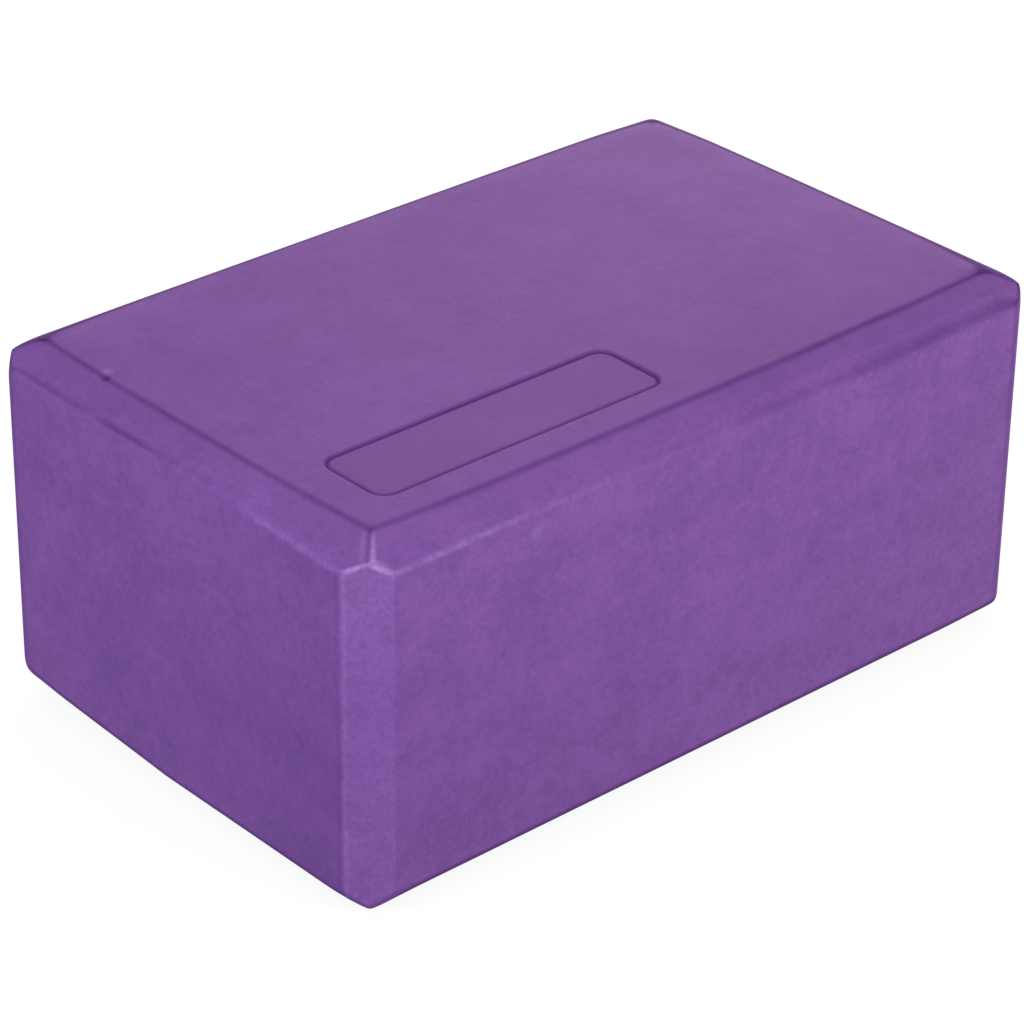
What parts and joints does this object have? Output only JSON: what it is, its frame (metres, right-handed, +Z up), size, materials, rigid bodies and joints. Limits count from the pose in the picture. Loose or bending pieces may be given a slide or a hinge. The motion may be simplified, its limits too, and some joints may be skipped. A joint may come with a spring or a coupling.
{
  "type": "yoga block",
  "caption": "Firm rectangular foam block with bevelled edges and a blank pressed panel on top; props a hand, foot or seat at a choice of heights.",
  "frame": {"origin": "middle of the large face that the block rests on", "axes": "+X along the length, +Y across the width towards the back, +Z up through the thickness"},
  "size_m": [0.225, 0.145, 0.1],
  "materials": {
    "foam": "matt closed-cell EVA foam, purple",
    "glue": "thin film of flexible contact adhesive, tinted to the foam"
  },
  "bodies": {
    "root": {"lower_foam_slab": "foam", "glue_film": "glue", "upper_foam_slab": "foam"}
  },
  "joints": []
}
